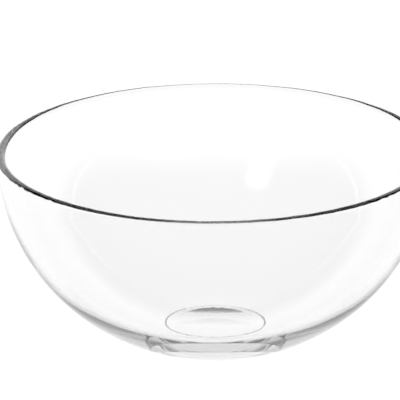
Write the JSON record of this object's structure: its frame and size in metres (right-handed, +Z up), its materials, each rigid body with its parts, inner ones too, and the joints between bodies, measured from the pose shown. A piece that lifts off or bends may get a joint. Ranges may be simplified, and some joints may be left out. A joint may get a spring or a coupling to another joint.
{
  "type": "glass bowl",
  "caption": "Round-bottomed clear glass bowl, almost a hemisphere, with a thick base on a low round foot and a rounded, fire-polished lip.",
  "frame": {"origin": "on the bowl's axis, in the plane that the foot rests on", "axes": "+Z up the axis of the bowl, out of its mouth; X and Y are alike, because the bowl is round"},
  "size_m": [0.2, 0.2, 0.0968],
  "materials": {
    "clear_glass": "clear, smooth, fire polished"
  },
  "bodies": {
    "root": {"bowl": "clear_glass"}
  },
  "joints": []
}
